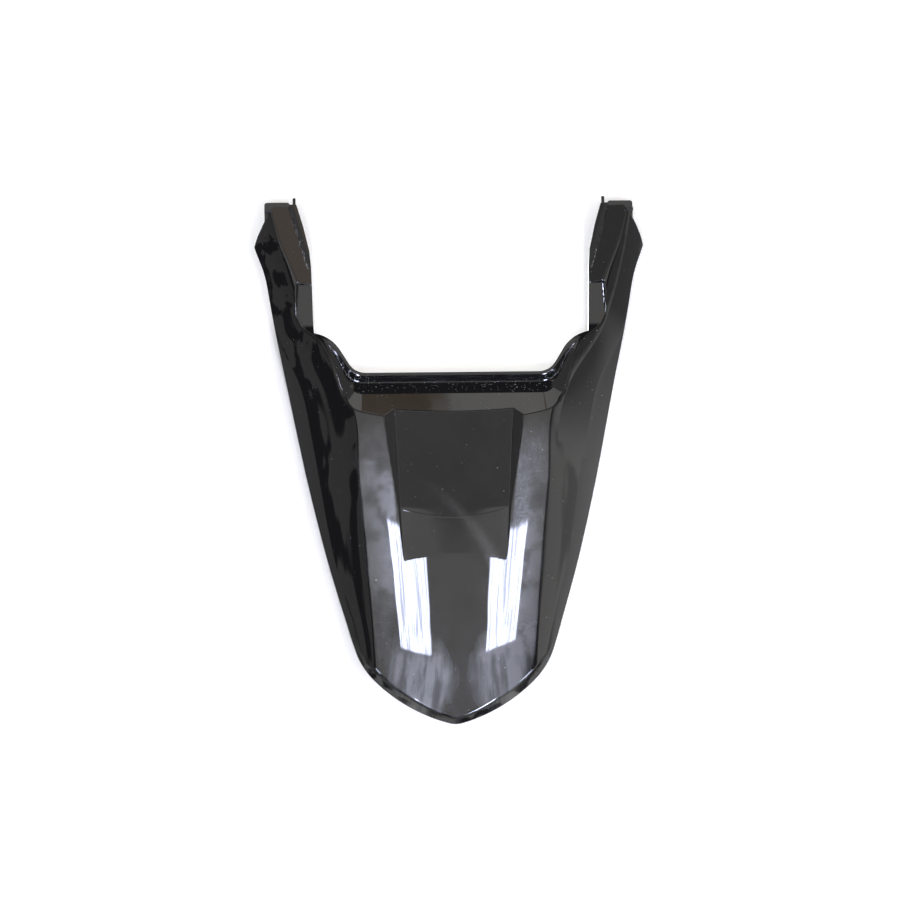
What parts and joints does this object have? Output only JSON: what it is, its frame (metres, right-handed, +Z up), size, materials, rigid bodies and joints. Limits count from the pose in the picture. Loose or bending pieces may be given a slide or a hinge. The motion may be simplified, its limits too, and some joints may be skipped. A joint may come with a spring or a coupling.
{
  "type": "motorcycle tail fairing",
  "caption": "Gloss black tail cowl moulded in one piece: rounded pointed tail, sunk deck panel, drain gutter behind the seat and two forward arms.",
  "frame": {"origin": "centre of the base, level with the lower edge of the side panels", "axes": "+Z up out of the deck, +Y forward from the tail to the arms, X across"},
  "size_m": [0.2912, 0.3926, 0.0422],
  "materials": {
    "cowl": "high gloss moulded black"
  },
  "bodies": {
    "root": {"tail_cowl": "cowl"}
  },
  "joints": []
}
